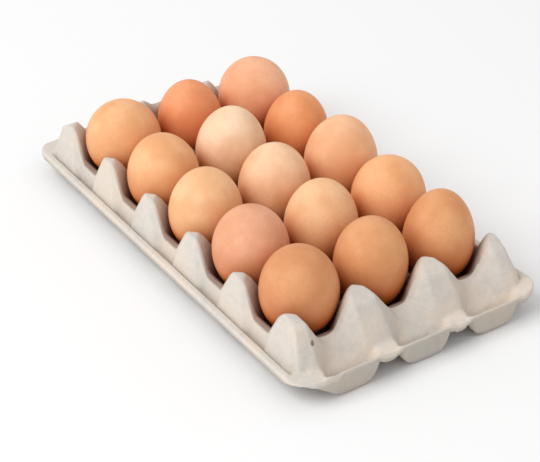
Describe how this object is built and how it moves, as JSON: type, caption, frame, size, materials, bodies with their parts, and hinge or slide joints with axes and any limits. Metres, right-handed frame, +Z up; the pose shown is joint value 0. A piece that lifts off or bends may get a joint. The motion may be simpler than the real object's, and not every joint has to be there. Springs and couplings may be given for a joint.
{
  "type": "egg tray with eggs",
  "caption": "Open moulded pulp egg tray with raised posts between its cups and half cups along the short ends, holding brown hen eggs.",
  "frame": {"origin": "middle of the tray on the surface that it stands on", "axes": "+X along the long side of the tray, +Y along its short side, +Z up"},
  "size_m": [0.298, 0.167, 0.0659],
  "materials": {
    "pulp": "matt grey-white moulded pulp, fibrous",
    "shell_tan": "satin brown eggshell, light tan",
    "shell_pale": "satin brown eggshell, pale peach",
    "shell_pink": "satin brown eggshell, pinkish",
    "shell_golden": "satin brown eggshell, golden brown",
    "shell_dark": "satin brown eggshell, dark orange brown"
  },
  "bodies": {
    "root": {"tray": "pulp", "egg_a1": "shell_tan", "egg_a2": "shell_tan", "egg_a3": "shell_tan", "egg_a4": "shell_pink", "egg_a5": "shell_golden", "egg_b1": "shell_dark", "egg_b2": "shell_pale", "egg_b3": "shell_pale", "egg_b4": "shell_tan", "egg_b5": "shell_golden", "egg_c1": "shell_pink", "egg_c2": "shell_dark", "egg_c3": "shell_golden", "egg_c4": "shell_golden", "egg_c5": "shell_golden"}
  },
  "joints": []
}
